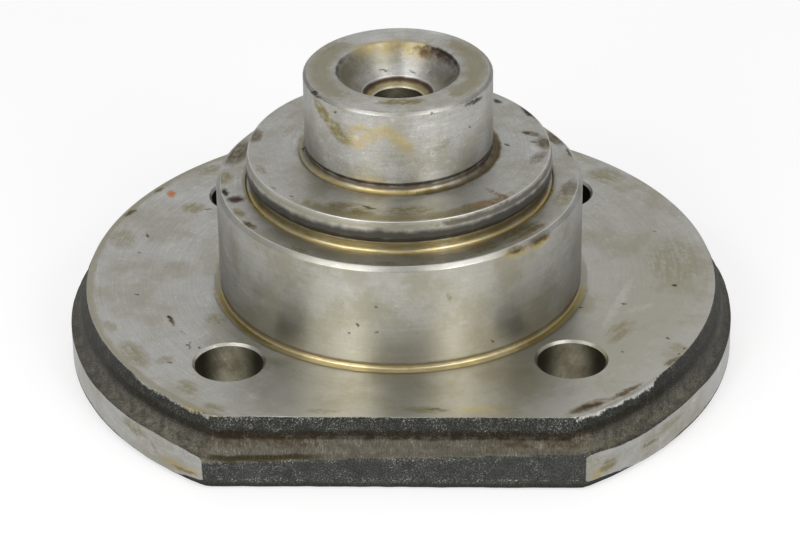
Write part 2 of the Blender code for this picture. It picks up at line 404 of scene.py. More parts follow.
def pointAt(surface, pixel):
    right, up, ahead = cameraAxes()
    eye = np.array(shot["place"])
    across, down = pixel[0] - 0.5 * photo["width"], pixel[1] - 0.5 * photo["height"]
    ray = ahead * photo["focalPixels"] + right * across - up * down
    if surface in surfaceLevels:
        return eye + ray * (surfaceLevels[surface] - eye[2]) / ray[2]
    if surface == "sink":
        drop = eye[2] - (stem["pinEnd"] - bore["sinkRadius"])
        a = ray[:2] @ ray[:2] - ray[2] ** 2
        b = eye[:2] @ ray[:2] - drop * ray[2]
        c = eye[:2] @ eye[:2] - drop**2
        return eye + ray * (-b + math.sqrt(max(b * b - a * c, 0.0))) / a
    a, b = ray[:2] @ ray[:2], eye[:2] @ ray[:2]
    c = eye[:2] @ eye[:2] - surfaceRadii[surface] ** 2
    return eye + ray * (-b - math.sqrt(max(b * b - a * c, 0.0))) / a


# Short ways to place shader nodes: sockets are given by name or number, linked or set.
def fill(tree, node, sockets):
    for key, value in sockets.items():
        if isinstance(value, bpy.types.NodeSocket):
            tree.links.new(value, node.inputs[key])
        else:
            node.inputs[key].default_value = value


def addNode(tree, kind, sockets=None, **settings):
    made = tree.nodes.new("ShaderNode" + kind)
    for key, value in settings.items():
        setattr(made, key, value)
    fill(tree, made, sockets or {})
    return made


def useGroup(tree, group, sockets=None):
    return addNode(tree, "Group", sockets, node_tree=group).outputs


def calc(tree, operation, *values):
    return addNode(tree, "Math", dict(enumerate(values)), operation=operation).outputs[0]


# The same operation over a row of values, from the left.
def chain(tree, operation, first, others):
    for other in others:
        first = calc(tree, operation, first, other)
    return first


def times(tree, first, *others):
    return chain(tree, "MULTIPLY", first, others)


def plus(tree, first, *others):
    return chain(tree, "ADD", first, others)


def most(tree, first, *others):
    return chain(tree, "MAXIMUM", first, others)


def minus(tree, first, second):
    return calc(tree, "SUBTRACT", first, second)


# The sum of values times their shares.
def weighed(tree, *pairs):
    return plus(tree, *[times(tree, value, share) for value, share in pairs])


def apart(tree, first, second):
    return calc(tree, "ABSOLUTE", minus(tree, first, second))


def vector(tree, operation, first, second):
    return addNode(tree, "VectorMath", {0: first, 1: second}, operation=operation).outputs[0]


def scaled(tree, arrow, factor):
    return addNode(tree, "VectorMath", {0: arrow, "Scale": factor}, operation="SCALE").outputs[0]


def measured(tree, operation, first, second=(0, 0, 0)):
    return addNode(tree, "VectorMath", {0: first, 1: second}, operation=operation).outputs["Value"]


def dot(tree, first, second):
    return measured(tree, "DOT_PRODUCT", first, second)


def onAxis(tree, arrow, axis):
    return addNode(tree, "SeparateXYZ", {0: arrow}).outputs[axis]


def fade(tree, value, low, high, start=0.0, stop=1.0):
    sockets = {0: value, 1: low, 2: high, 3: start, 4: stop}
    return addNode(tree, "MapRange", sockets, interpolation_type="SMOOTHSTEP").outputs[0]


# From start to stop as a share goes from 0 to 1.
def ease(tree, share, start, stop):
    return fade(tree, share, 0.0, 1.0, start, stop)


def blendColours(tree, share, first, second, mode="MIX"):
    sockets = {0: share, 6: first, 7: second}
    return addNode(tree, "Mix", sockets, data_type="RGBA", blend_type=mode).outputs[2]


def shaded(tree, colour, level):
    grey = addNode(tree, "CombineColor", {0: level, 1: level, 2: level}).outputs[0]
    return blendColours(tree, 1.0, colour, grey, "MULTIPLY")


def noiseAt(tree, place, scale, detail, roughness, output=0):
    sockets = {"Vector": place, "Scale": scale, "Detail": detail, "Roughness": roughness}
    return addNode(tree, "TexNoise", sockets).outputs[output]


# A place for noise that draws out round the axis: direction times a rate, plus the distance along
# the cut as z.
def roundPlace(tree, direction, rate, along):
    upright = addNode(tree, "CombineXYZ", {2: along}).outputs[0]
    return vector(tree, "ADD", scaled(tree, direction, rate), upright)


def newGroup(name, inputs, outputs):
    group = bpy.data.node_groups.new(name, "ShaderNodeTree")
    kinds = dict(float="NodeSocketFloat", colour="NodeSocketColor", vector="NodeSocketVector")
    for side, titles in (("INPUT", inputs), ("OUTPUT", outputs)):
        for kind, names in titles.items():
            for title in names:
                group.interface.new_socket(title, in_out=side, socket_type=kinds[kind])
    return group, group.nodes.new("NodeGroupInput").outputs, group.nodes.new("NodeGroupOutput")


# Where a point lies, in mm: itself, its radius and height, and the unit direction from the axis.
def makePlaceGroup():
    found = dict(vector=["Point", "Direction"], float=["Radius", "Height"])
    group, _, out = newGroup("placeOnPin", {}, found)
    point = scaled(group, addNode(group, "TexCoord").outputs["Object"], 1.0 / mm)
    flat = vector(group, "MULTIPLY", point, (1, 1, 0))
    radius = measured(group, "LENGTH", flat)
    direction = vector(group, "NORMALIZE", flat, (0, 0, 0))
    height = onAxis(group, point, "Z")
    fill(group, out, {"Point": point, "Radius": radius, "Height": height, "Direction": direction})
    return group


# In the dictionaries below a noise is scale, detail and roughness, and a window is the two levels
# that a fade runs between.
turnedLook = dict(
    ringRate=2.6, ringDrop=-0.45, ringNoise=(1.0, 3.0, 0.7), ringShare=0.50,
    mottleNoise=(0.16, 5.0, 0.6), mottleShare=0.36, grainNoise=(2.5, 3.0, 0.7), grainShare=0.42,
    hairNoise=(0.11, 1.0, 0.4), hairLevel=0.47, hairWindow=(0.0035, 0.0010),
    crossNoise=(0.34, 1.0, 0.4), crossLevel=0.55, crossWindow=(0.008, 0.002),
    patchNoise=(0.5, 2.0, 0.5), patchWindow=(0.45, 0.62),
    arcRate=11.0, arcPitch=0.9, arcNoise=(1.0, 2.0, 0.6), arcWindow=(0.54, 0.72), arcWear=(0.44, 0.58),
    speckWindow=(0.62, 0.70), pitWindow=(0.38, 0.30), speckShine=0.45, pitShine=-0.35, arcShine=0.22,
    roughSpread=0.6,
)


# Turning marks: noise on (direction, distance along the cut), so it draws out into rings. Over them
# lie cloudy wear, a fine grain with pits and bright specks, short arcs, and hairline scratches along
# noise contours.
def makeTurnedGroup(placeGroup):
    look = turnedLook
    group, given, out = newGroup(
        "turnedFinish",
        dict(colour=["Steel"], float=["Rings", "Contrast", "Scratches", "Rough"]),
        dict(colour=["Colour"], float=["Roughness", "Height"]),
    )
    place = useGroup(group, placeGroup)
    point, direction = place["Point"], place["Direction"]
    drop = times(group, place["Height"], look["ringDrop"])
    along = times(group, plus(group, place["Radius"], drop), given["Rings"])
    rings = noiseAt(group, roundPlace(group, direction, look["ringRate"], along), *look["ringNoise"])
    mottle = noiseAt(group, point, *look["mottleNoise"])
    grain = noiseAt(group, point, *look["grainNoise"])
    mixed = weighed(
        group, (rings, look["ringShare"]), (mottle, look["mottleShare"]), (grain, look["grainShare"])
    )
    hairs = apart(group, noiseAt(group, point, *look["hairNoise"]), look["hairLevel"])
    crossing = apart(group, noiseAt(group, point, *look["crossNoise"]), look["crossLevel"])
    crossing = fade(group, crossing, *look["crossWindow"])
    lines = most(group, fade(group, hairs, *look["hairWindow"]), crossing)
    patchy = fade(group, noiseAt(group, point, *look["patchNoise"]), *look["patchWindow"])
    lines = times(group, lines, patchy, given["Scratches"])
    arcPlace = roundPlace(group, direction, look["arcRate"], times(group, along, look["arcPitch"]))
    strokes = fade(group, noiseAt(group, arcPlace, *look["arcNoise"]), *look["arcWindow"])
    strokes = times(group, strokes, fade(group, mottle, *look["arcWear"]))
    specks = fade(group, grain, *look["speckWindow"])
    pits = fade(group, grain, *look["pitWindow"])
    flecks = weighed(
        group, (specks, look["speckShine"]), (pits, look["pitShine"]), (strokes, look["arcShine"])
    )
    level = plus(group, times(group, minus(group, mixed, 0.5), given["Contrast"]), 1.0, flecks, lines)
    rough = plus(group, given["Rough"], times(group, minus(group, mixed, 0.5), look["roughSpread"]))
    colour = shaded(group, given["Steel"], level)
    fill(group, out, {"Colour": colour, "Roughness": rough, "Height": plus(group, rings, grain)})
    return group


# How marks and rings end: solid cores as a share of their reach, and a ring's fade past its spread.
stainAndPaintedLightEdges = dict(spotCore=0.05, ringCore=0.2, before=0.08, after=0.10)


# One mark: an ellipsoid about a centre, long along a unit direction a. With d from the centre its
# squared reach is d.d + k (d.a)^2, where k = (width / length)^2 - 1. The mark fades out from a
# small core of that square to the square of the width.
def makeSpotGroup():
    group, given, out = newGroup(
        "spotMask",
        dict(vector=["Ragged Point", "Centre", "Along"], float=["Stretch", "Width Square", "Strength"]),
        dict(float=["Mask"]),
    )
    away = vector(group, "SUBTRACT", given["Ragged Point"], given["Centre"])
    along = dot(group, away, given["Along"])
    square = dot(group, away, away)
    square = calc(group, "MULTIPLY_ADD", times(group, along, along), given["Stretch"], square)
    inner = times(group, given["Width Square"], stainAndPaintedLightEdges["spotCore"])
    mask = fade(group, square, given["Width Square"], inner, 0.0, given["Strength"])
    fill(group, out, {"Mask": mask})
    return group


# A mark that follows a ring, for stains and for painted shade and highlights: near one radius and
# height, where the direction's dot product with the ring's own direction is over the limit,
# cos(spread).
def makeRingGroup():
    group, given, out = newGroup(
        "ringMask",
        dict(
            vector=["Section", "Ragged Direction", "At", "Toward"],
            float=["Ragged", "Width", "Limit", "Strength"],
        ),
        dict(float=["Mask"]),
    )
    away = measured(group, "DISTANCE", given["Section"], given["At"])
    away = calc(group, "MULTIPLY_ADD", given["Ragged"], given["Width"], away)
    inner = times(group, given["Width"], stainAndPaintedLightEdges["ringCore"])
    near = fade(group, away, given["Width"], inner, 0.0, given["Strength"])
    facing = dot(group, given["Ragged Direction"], given["Toward"])
    start = minus(group, given["Limit"], stainAndPaintedLightEdges["before"])
    turned = fade(group, facing, start, plus(group, given["Limit"], stainAndPaintedLightEdges["after"]))
    fill(group, out, {"Mask": times(group, near, turned)})
    return group


filmLook = dict(
    cloudNoise=(3.0, 0.5), cloudShare=0.72, finer=5.0, finerNoise=(4.0, 0.65), finerShare=0.28,
    bare=0.66, perCover=0.3, before=0.06, after=0.16,
)


# Thin oil film: soft clouds of a size in mm, where they are over a level that falls with the cover,
# broken by a finer cloud.
def makeFilmGroup(placeGroup):
    look = filmLook
    group, given, out = newGroup("oilFilm", dict(float=["Size", "Cover", "Seed"]), dict(float=["Mask"]))
    place = useGroup(group, placeGroup)
    seed = given["Seed"]
    shift = addNode(group, "CombineXYZ", {0: seed, 1: seed, 2: seed}).outputs[0]
    spot = vector(group, "ADD", place["Point"], shift)
    scale = calc(group, "DIVIDE", 1.0, given["Size"])
    cloud = noiseAt(group, spot, scale, *look["cloudNoise"])
    broken = noiseAt(group, spot, times(group, scale, look["finer"]), *look["finerNoise"])
    cloud = weighed(group, (cloud, look["cloudShare"]), (broken, look["finerShare"]))
    edge = minus(group, look["bare"], times(group, given["Cover"], look["perCover"]))
    mask = fade(group, cloud, minus(group, edge, look["before"]), plus(group, edge, look["after"]))
    fill(group, out, {"Mask": mask})
    return group


skinLook = dict(
    drawnScale=(2.6, 2.6, 0.55), drawnNoise=(1.0, 3.0, 0.7), drawnShare=0.5,
    coarseNoise=(0.30, 4.0, 0.6), coarseShare=0.9, fineNoise=(2.9, 4.0, 0.75), textureShare=2.6,
    dip=0.75, darkest=0.1, crowdWindow=(0.38, 0.66, 0.15, 1.0), fleckWindow=(0.52, 0.70),
    rough=0.52, roughSpread=0.3, relief=0.6,
)


# Forging skin: charcoal scale crowded with pale flecks, and drawn out upright where it was sheared.
def makeForgedGroup(placeGroup):
    look = skinLook
    group, given, out = newGroup(
        "forgedSkin",
        dict(colour=["Scale", "Fleck"], float=["Flecks", "Drawn"]),
        dict(colour=["Colour"], float=["Roughness", "Height"]),
    )
    point = useGroup(group, placeGroup)["Point"]
    draws = noiseAt(group, vector(group, "MULTIPLY", point, look["drawnScale"]), *look["drawnNoise"])
    coarse = noiseAt(group, point, *look["coarseNoise"])
    fine = noiseAt(group, point, *look["fineNoise"])
    drawn = weighed(group, (draws, look["drawnShare"]), (fine, look["drawnShare"]))
    texture = ease(group, given["Drawn"], fine, drawn)
    level = weighed(group, (coarse, look["coarseShare"]), (texture, look["textureShare"]))
    level = most(group, minus(group, level, look["dip"]), look["darkest"])
    crowd = fade(group, coarse, *look["crowdWindow"])
    flecks = times(group, fade(group, texture, *look["fleckWindow"]), crowd, given["Flecks"])
    colour = blendColours(group, flecks, shaded(group, given["Scale"], level), given["Fleck"])
    rough = plus(group, look["rough"], times(group, coarse, look["roughSpread"]))
    height = plus(group, coarse, times(group, texture, look["relief"]))
    fill(group, out, {"Colour": colour, "Roughness": rough, "Height": height})
    return group


# Stain colours, also used for painted light: dark paints shade on the stem's walls and undercuts,
# bright and pale paint highlights. Even is the share of a mark that stays where the streaks thin it.
tints = dict(
    thinOil=dict(colour=(0.45, 0.435, 0.375, 1.0), metal=1.0, rough=0.31, even=1.0),
    gold=dict(colour=(0.62, 0.48, 0.19, 1.0), metal=1.0, rough=0.38, even=0.35),
    bright=dict(colour=(0.92, 0.84, 0.58, 1.0), metal=1.0, rough=0.42, even=0.3),
    olive=dict(colour=(0.255, 0.215, 0.090, 1.0), metal=1.0, rough=0.40, even=0.3),
    brown=dict(colour=(0.125, 0.088, 0.038, 1.0), metal=0.8, rough=0.5, even=0.6),
    rust=dict(colour=(0.17, 0.100, 0.045, 1.0), metal=0.4, rough=0.7, even=0.35),
    orange=dict(colour=(0.50, 0.20, 0.085, 1.0), metal=0.0, rough=0.7, even=1.0),
    maroon=dict(colour=(0.055, 0.028, 0.018, 1.0), metal=0.7, rough=0.5, even=1.0),
    dark=dict(colour=(0.035, 0.030, 0.022, 1.0), metal=0.8, rough=0.55, even=1.0),
    pale=dict(colour=(0.85, 0.85, 0.83, 1.0), metal=1.0, rough=0.45, even=0.3),
)

# Marks on the photo's pixels, by tint and surface: from x and y, to x and y, width in mm, strength.
stemMarks = dict(
    gold=dict(
        # Gold on the countersink's back wall: the oil's tint, with its golden highlight painted in.
        sink=[(352, 51, 376, 45, 2.64, 0.85), (372, 45, 408, 44, 2.81, 0.85),
            (402, 45, 430, 52, 2.98, 0.85)],
        pin=[(342, 138, 368, 144, 2.46, 0.7), (348, 130, 366, 127, 1.76, 0.7),
            (362, 143, 380, 129, 2.29, 0.7), (372, 131, 396, 132, 2.46, 0.7),
            (388, 130, 404, 145, 2.46, 0.7), (398, 139, 412, 152, 2.29, 0.7),
            (318, 103, 340, 134, 1.4, 0.51), (348, 176, 386, 181, 1.4, 0.57)],
        boss=[(502, 256, 530, 247, 1.76, 1.0), (528, 248, 551, 236, 1.59, 1.0)],
    ),
    olive=dict(
        sink=[(346, 62, 368, 59, 2.64, 0.7), (440, 74, 456, 84, 2.81, 0.7)],
        pin=[(313, 95, 334, 127, 2.64, 1.0), (326, 116, 350, 145, 2.98, 1.0),
            (435, 151, 449, 141, 2.29, 0.57)],
        end=[(320, 57, 338, 43, 2.81, 0.76), (455, 42, 474, 60, 2.46, 0.76),
            (374, 103, 432, 101, 2.29, 1.0)],
        collar=[(257, 165, 265, 174, 1.4, 0.76), (297, 150, 303, 158, 1.59, 0.63),
            (315, 206, 380, 211, 3.86, 0.88), (380, 212, 440, 211, 3.86, 0.88),
            (460, 209, 478, 204, 2.11, 1.0)],
        step=[(226, 172, 224, 184, 2.64, 0.88), (235, 208, 243, 217, 1.94, 0.95),
            (285, 246, 310, 254, 1.59, 0.88), (375, 263, 402, 264, 1.4, 0.76),
            (568, 190, 558, 207, 3.33, 0.76), (470, 252, 500, 243, 3.16, 0.83),
            (498, 241, 545, 222, 4.21, 0.95)],
        boss=[(448, 291, 451, 304, 0.75, 0.8)],
    ),
    bright=dict(
        # Painted highlight: the light bands on the countersink's back wall.
        sink=[(376, 54, 418, 54, 1.86, 0.34)],
    ),
    brown=dict(
        sink=[(420, 51, 434, 57, 1.76, 0.7)],
        collar=[(256, 130, 254, 142, 2.46, 0.88), (345, 212, 375, 214, 1.59, 0.51),
            (521, 131, 541, 136, 1.4, 0.88), (541, 137, 547, 149, 2.46, 0.95),
            (545, 151, 532, 164, 2.11, 0.69)],
        step=[(228, 164, 247, 142, 4.39, 0.95), (243, 221, 256, 229, 1.22, 1.0),
            (549, 133, 562, 144, 2.81, 1.0), (574, 180, 565, 196, 2.81, 0.69),
            (526, 231, 543, 224, 1.59, 0.76)],
        boss=[(505, 253, 528, 246, 1.22, 1.0), (527, 245, 551, 233, 1.59, 1.0)],
    ),
    dark=dict(
        sink=[(376, 70, 390, 71, 0.45, 0.68), (408, 70, 416, 74, 0.52, 0.59),
            (420, 67, 440, 76, 0.24, 0.68)],
        pin=[(334, 111, 337, 113, 0.52, 0.78), (431, 113, 434, 114, 0.45, 0.68),
            (468, 126, 472, 128, 0.45, 0.68), (462, 106, 484, 96, 0.93, 0.92),
            (307, 88, 322, 99, 0.68, 0.92)],
        collar=[(271, 186, 276, 190, 0.38, 0.68), (288, 195, 294, 197, 0.45, 0.68),
            (303, 147, 305, 152, 0.75, 0.8), (360, 205, 378, 210, 0.6, 0.78),
            (494, 208, 504, 208, 0.52, 0.68), (521, 132, 530, 134, 0.6, 0.78),
            (529, 141, 538, 143, 0.52, 0.68), (499, 141, 499, 148, 0.3, 0.34),
            (504, 144, 510, 146, 0.6, 0.78), (495, 99, 500, 103, 1.24, 0.92),
            (520, 106, 537, 119, 1.24, 0.92)],
        step=[(223, 188, 226, 197, 1.08, 1.0), (565, 147, 574, 158, 0.75, 0.69),
            (551, 190, 553, 191, 0.45, 0.78), (535, 206, 536, 209, 0.38, 0.48)],
        boss=[(357, 324, 359, 326, 0.52, 0.78), (348, 332, 350, 334, 0.52, 0.78),
            (375, 306, 377, 308, 0.45, 0.68), (376, 331, 378, 333, 0.45, 0.68),
            (492, 341, 494, 343, 0.52, 0.78)],
    ),
    pale=dict(
        pin=[(354, 137, 360, 139, 0.9, 0.33)],
        collar=[(343, 209, 366, 205, 0.6, 0.33), (531, 146, 536, 151, 1.0, 0.33)],
    ),
    rust=dict(
        collar=[(468, 207, 506, 200, 1.86, 1.0), (486, 188, 500, 196, 1.08, 0.8),
            (498, 194, 506, 200, 1.71, 1.0)],
    ),
    maroon=dict(
        step=[(229, 200, 243, 199, 2.33, 1.0)],
        boss=[(513, 249, 520, 247, 0.75, 0.98), (528, 243, 545, 236, 0.75, 0.8)],
    ),
)
flangeMarks = dict(
    orange=dict(
        face=[(170, 191, 172, 197, 1.32, 1.0)],
    ),
    maroon=dict(
        face=[(168, 315, 170, 319, 0.68, 1.0), (672, 285, 677, 286, 0.75, 0.92)],
    ),
    brown=dict(
        face=[(168, 316, 175, 327, 0.68, 0.98), (176, 328, 190, 337, 0.24, 0.69),
            (621, 303, 626, 304, 0.75, 0.92), (652, 231, 656, 232, 0.6, 0.69),
            (200, 209, 216, 209, 0.52, 0.8), (125, 217, 136, 209, 1.05, 1.0),
            (154, 193, 164, 187, 0.75, 0.8), (172, 404, 200, 413, 0.6, 0.69),
            (664, 366, 684, 355, 1.22, 0.76), (425, 409, 449, 410, 0.75, 0.57),
            (566, 414, 604, 402, 1.94, 1.0), (606, 402, 645, 382, 1.22, 0.95)],
        rim=[(170, 464, 200, 477, 0.68, 0.8), (640, 449, 662, 436, 0.68, 0.69)],
    ),
    dark=dict(
        face=[(188, 340, 191, 352, 0.38, 0.59), (147, 233, 149, 239, 0.45, 0.78),
            (139, 252, 141, 253, 0.45, 0.78), (136, 294, 138, 295, 0.6, 0.78),
            (169, 362, 172, 363, 0.6, 0.78), (186, 345, 188, 346, 0.52, 0.78),
            (199, 347, 201, 348, 0.52, 0.78), (667, 338, 669, 339, 0.6, 0.78),
            (580, 307, 582, 308, 0.52, 0.78), (621, 351, 623, 352, 0.52, 0.59),
            (684, 348, 686, 349, 0.52, 0.78), (679, 353, 681, 354, 0.52, 0.78),
            (199, 412, 206, 414, 0.6, 0.68), (576, 409, 606, 402, 0.93, 0.69)],
        rim=[(614, 474, 636, 464, 0.6, 0.78)],
    ),
    pale=dict(
        face=[(262, 343, 264, 344, 0.28, 0.59), (221, 322, 223, 323, 0.28, 0.59),
            (205, 304, 207, 306, 0.28, 0.59), (622, 234, 627, 235, 0.28, 0.65),
            (686, 251, 689, 251, 0.28, 0.59), (667, 209, 669, 209, 0.28, 0.59),
            (631, 287, 636, 288, 0.28, 0.59), (593, 296, 597, 297, 0.24, 0.59),
            (406, 377, 421, 392, 0.13, 0.39), (419, 409, 425, 409, 0.2, 0.52),
            (601, 197, 634, 240, 3.2, 0.14), (637, 271, 598, 337, 1.5, 0.2),
            (655, 303, 622, 314, 1.6, 0.14)],
    ),
    olive=dict(
        face=[(118, 228, 126, 248, 4.56, 0.57), (197, 171, 222, 169, 4.21, 0.66),
            (185, 208, 201, 208, 3.86, 0.75), (155, 269, 190, 267, 4.56, 0.43),
            (105, 322, 114, 331, 2.46, 0.47), (122, 342, 146, 367, 4.21, 0.66),
            (157, 362, 172, 358, 2.46, 0.57), (181, 381, 192, 394, 3.33, 0.66),
            (208, 317, 226, 322, 3.51, 0.66), (230, 330, 262, 350, 2.11, 0.38),
            (203, 404, 224, 411, 2.46, 0.66), (590, 173, 621, 179, 5.62, 0.71),
            (668, 236, 682, 292, 10.53, 0.57), (700, 258, 704, 290, 4.21, 0.38),
            (633, 317, 607, 345, 3.86, 0.66), (668, 343, 686, 352, 2.81, 0.52),
            (303, 411, 345, 411, 1.59, 0.57), (400, 409, 455, 411, 1.94, 0.71)],
        rim=[(122, 418, 148, 436, 2.46, 0.83), (150, 440, 160, 458, 1.05, 0.63),
            (600, 470, 616, 460, 2.64, 0.88), (648, 441, 690, 405, 1.94, 0.63)],
    ),
    gold=dict(
        face=[(170, 403, 204, 414, 1.59, 0.88), (452, 409, 512, 410, 2.46, 0.44)],
        rim=[(158, 456, 204, 477, 1.59, 0.88), (593, 479, 601, 470, 1.59, 0.88)],
    ),
    rust=dict(
        face=[(580, 407, 612, 398, 1.71, 0.69)],
    ),
)
# Stains and painted light that follow a ring, by tint: radius, height and width in mm, the way they
# face in degrees from the front, how far they reach to each side of it, and strength.
stemRings = dict(
    dark=[
        # From the pin's undercut down to the collar's, these dark rings are painted shade: the shadow
        # under each overhang, and the dark band on the collar's wall all round.
        (22.75, 55.8, 0.75, 0, 180, 0.95), (24.5, 53.8, 0.35, 20, 30, 0.8),
        (37.3, 52.5, 1.2, 75, 60, 0.7), (37.4, 50.2, 2.3, 0, 180, 0.88),
        (37.4, 49.2, 1.3, 0, 180, 0.97), (37.2, 48.6, 0.7, 0, 180, 1.0),
        (36.6, 47.6, 1.5, 180, 105, 0.9), (12.0, 72.5, 5.5, 90, 48, 0.4),
        (12.0, 72.5, 5.5, -90, 40, 0.2), (14.6, 74.8, 0.7, 118, 30, 0.9),
        (14.7, 74.9, 0.9, -95, 22, 0.7),
    ],
    brown=[
        (22.8, 54.9, 0.8, 0, 180, 0.85), (23.9, 54.0, 1.5, 62, 55, 0.95),
        (36.7, 47.2, 1.0, 62, 40, 0.7), (43.2, 45.8, 0.8, 4, 18, 0.35), (35.9, 53.8, 1.2, 34, 14, 0.6),
        (44.9, 19.3, 0.7, 0, 180, 0.7), (8.0, 68.1, 1.0, 0, 180, 0.95),
    ],
    gold=[
        (23.5, 54.0, 1.1, -18, 45, 0.9), (37.5, 45.7, 1.5, 0, 80, 0.95), (45.6, 18.0, 1.6, 0, 80, 1.0),
        (7.2, 67.5, 0.7, 0, 180, 0.9),
    ],
    bright=[
        # Painted highlights: bright lines in the gold grooves toward the front, and a thin one round
        # the bore's mouth.
        (24.6, 53.8, 0.45, -18, 28, 0.8), (37.6, 45.4, 0.9, -10, 40, 0.8),
        (45.7, 18.0, 1.5, -2, 42, 0.9), (6.5, 67.0, 0.3, 0, 180, 0.6),
    ],
    maroon=[
        (23.2, 54.8, 1.0, 82, 36, 0.8), (14.2, 74.4, 1.6, 126, 26, 0.8), (8.3, 68.4, 0.75, 0, 180, 0.9),
    ],
    olive=[
        (23.9, 53.9, 1.7, 180, 120, 0.7), (37.2, 52.7, 1.0, -50, 80, 0.5),
        (36.7, 47.2, 1.5, 0, 180, 0.9), (37.8, 45.8, 1.2, 180, 115, 0.7),
        (35.2, 53.8, 3.0, 0, 42, 0.75), (45.6, 18.0, 1.4, -85, 45, 0.6),
        (12.6, 73.0, 4.5, -125, 60, 0.5), (13.0, 73.0, 3.6, -70, 50, 0.6),
        (7.2, 67.5, 0.8, 0, 180, 0.5), (19.0, 75.2, 4.6, -90, 50, 0.6), (19.0, 75.2, 4.6, 90, 50, 0.65),
    ],
    pale=[
        # Painted highlights: thin bright lines along the collar's and the boss's top edges, the boss's
        # partly edge wear, a soft band below that edge, and a crescent at the back of the bore's mouth.
        (36.95, 53.8, 0.26, 0, 125, 0.7), (44.0, 45.8, 0.26, 0, 140, 0.5),
        (44.5, 45.3, 0.9, 0, 110, 0.15), (8.8, 69.0, 0.22, 180, 120, 0.5),
    ],
    rust=[
        (36.7, 47.6, 0.35, -12, 24, 0.6), (13.7, 74.0, 2.0, 142, 18, 0.85),
    ],
)
flangeRings = dict(
    dark=[
        (82.5, 5.0, 11.0, 0, 180, 0.26), (82.5, 0.4, 0.8, 38, 22, 0.85),
    ],
    olive=[
        (63.0, 18.0, 17.0, 85, 42, 0.22), (46.9, 18.0, 0.6, 0, 80, 0.6),
        (77.6, 18.0, 1.8, -60, 90, 0.5),
    ],
    pale=[
        # Painted highlights on the face's turned chamfer, toward the front left and front right.
        (79.0, 16.8, 1.4, 42, 32, 0.55), (79.0, 16.8, 1.3, -42, 16, 0.45),
    ],
)


stainAndPaintedLightLook = dict(
    edgeNoise=(0.55, 5.0, 0.68), edgeShift=2.4, turnShift=0.5, ringNoise=(0.3, 3.0, 0.5), ringShift=0.9,
    streakRate=7.0, streakPitch=1.1, streakNoise=(1.0, 4.0, 0.65), cloudNoise=(0.7, 5.0, 0.7),
    density=(0.80, 1.12, 0.15, 1.0), fullTurn=0.4,
)


# What one mark tells its mask: the middle and direction of its line, and its width and reach.
def spotSockets(ragged, surface, startX, startY, stopX, stopY, width, strength):
    first, last = pointAt(surface, (startX, startY)), pointAt(surface, (stopX, stopY))
    length = np.linalg.norm(last - first)
    return {
        "Ragged Point": ragged,
        "Centre": tuple(0.5 * (first + last)),
        "Along": tuple((last - first) / length),
        "Stretch": (width / (0.5 * length + 0.5 * width)) ** 2 - 1.0,
        "Width Square": width**2,
        "Strength": strength,
    }


# What one ring tells its mask. A ring of 180 degrees gets a limit under -1, so that it closes.
def ringSockets(section, rough, swayed, atRadius, atHeight, width, toward, spread, strength):
    turn = math.radians(toward)
    return {
        "Section": section,
        "Ragged": rough,
        "Ragged Direction": swayed,
        "At": (atRadius, atHeight, 0.0),
        "Width": width,
        "Toward": (math.sin(turn), -math.cos(turn), 0.0),
        "Limit": math.cos(math.radians(spread)) - stainAndPaintedLightLook["fullTurn"] * (spread >= 180),
        "Strength": strength,
    }


# Adds the marks, rings and extra masks of each tint over a colour, and gives colour, roughness and
# metal. The masks of one tint are joined by their maximum.
def addStainsAndPaintedLight(tree, place, groups, marks, rings, extra, colour, roughness):
    look = stainAndPaintedLightLook
    wander = noiseAt(tree, place["Point"], *look["edgeNoise"], "Color")
    centred = vector(tree, "SUBTRACT", wander, (0.5, 0.5, 0.5))
    ragged = vector(tree, "ADD", place["Point"], scaled(tree, centred, look["edgeShift"]))
    slow = noiseAt(tree, place["Point"], *look["ringNoise"])
    rough = times(tree, minus(tree, slow, 0.5), look["ringShift"])
    across = times(tree, minus(tree, place["Radius"], place["Height"]), look["streakPitch"])
    streakPlace = roundPlace(tree, place["Direction"], look["streakRate"], across)
    streaks = noiseAt(tree, streakPlace, *look["streakNoise"])
    clouds = noiseAt(tree, place["Point"], *look["cloudNoise"])
    density = fade(tree, plus(tree, streaks, clouds), *look["density"])
    section = addNode(tree, "CombineXYZ", {0: place["Radius"], 1: place["Height"]}).outputs[0]
    swayed = vector(tree, "ADD", place["Direction"], scaled(tree, centred, look["turnShift"]))
    metal = 1.0
    for tint, made in tints.items():
        total = 0.0
        for surface, rows in marks.get(tint, {}).items():
            for row in rows:
                mask = useGroup(tree, groups["spot"], spotSockets(ragged, surface, *row))[0]
                total = most(tree, total, mask)
        if total != 0.0 and made["even"] < 1.0:
            solid = calc(tree, "MULTIPLY_ADD", density, 1.0 - made["even"], made["even"])
            total = times(tree, total, solid)
        total = most(tree, total, *extra.get(tint, []))
        for row in rings.get(tint, []):
            mask = useGroup(tree, groups["ring"], ringSockets(section, rough, swayed, *row))[0]
            total = most(tree, total, mask)
        if total == 0.0:
            continue
        colour = blendColours(tree, total, colour, made["colour"])
        roughness = ease(tree, total, roughness, made["rough"])
        metal = ease(tree, total, metal, made["metal"])
    return colour, roughness, metal


def newMaterial(name):
    material = bpy.data.materials.new(name)
    material.use_nodes = True
    return material, material.node_tree, material.node_tree.nodes["Principled BSDF"]


# The turned finish of one of the dictionaries below, made by its node group.
def turnedFinish(tree, groups, look):
    keys = ("steel", "rings", "contrast", "scratches", "rough")
    return useGroup(tree, groups["turned"], {key.capitalize(): look[key] for key in keys})


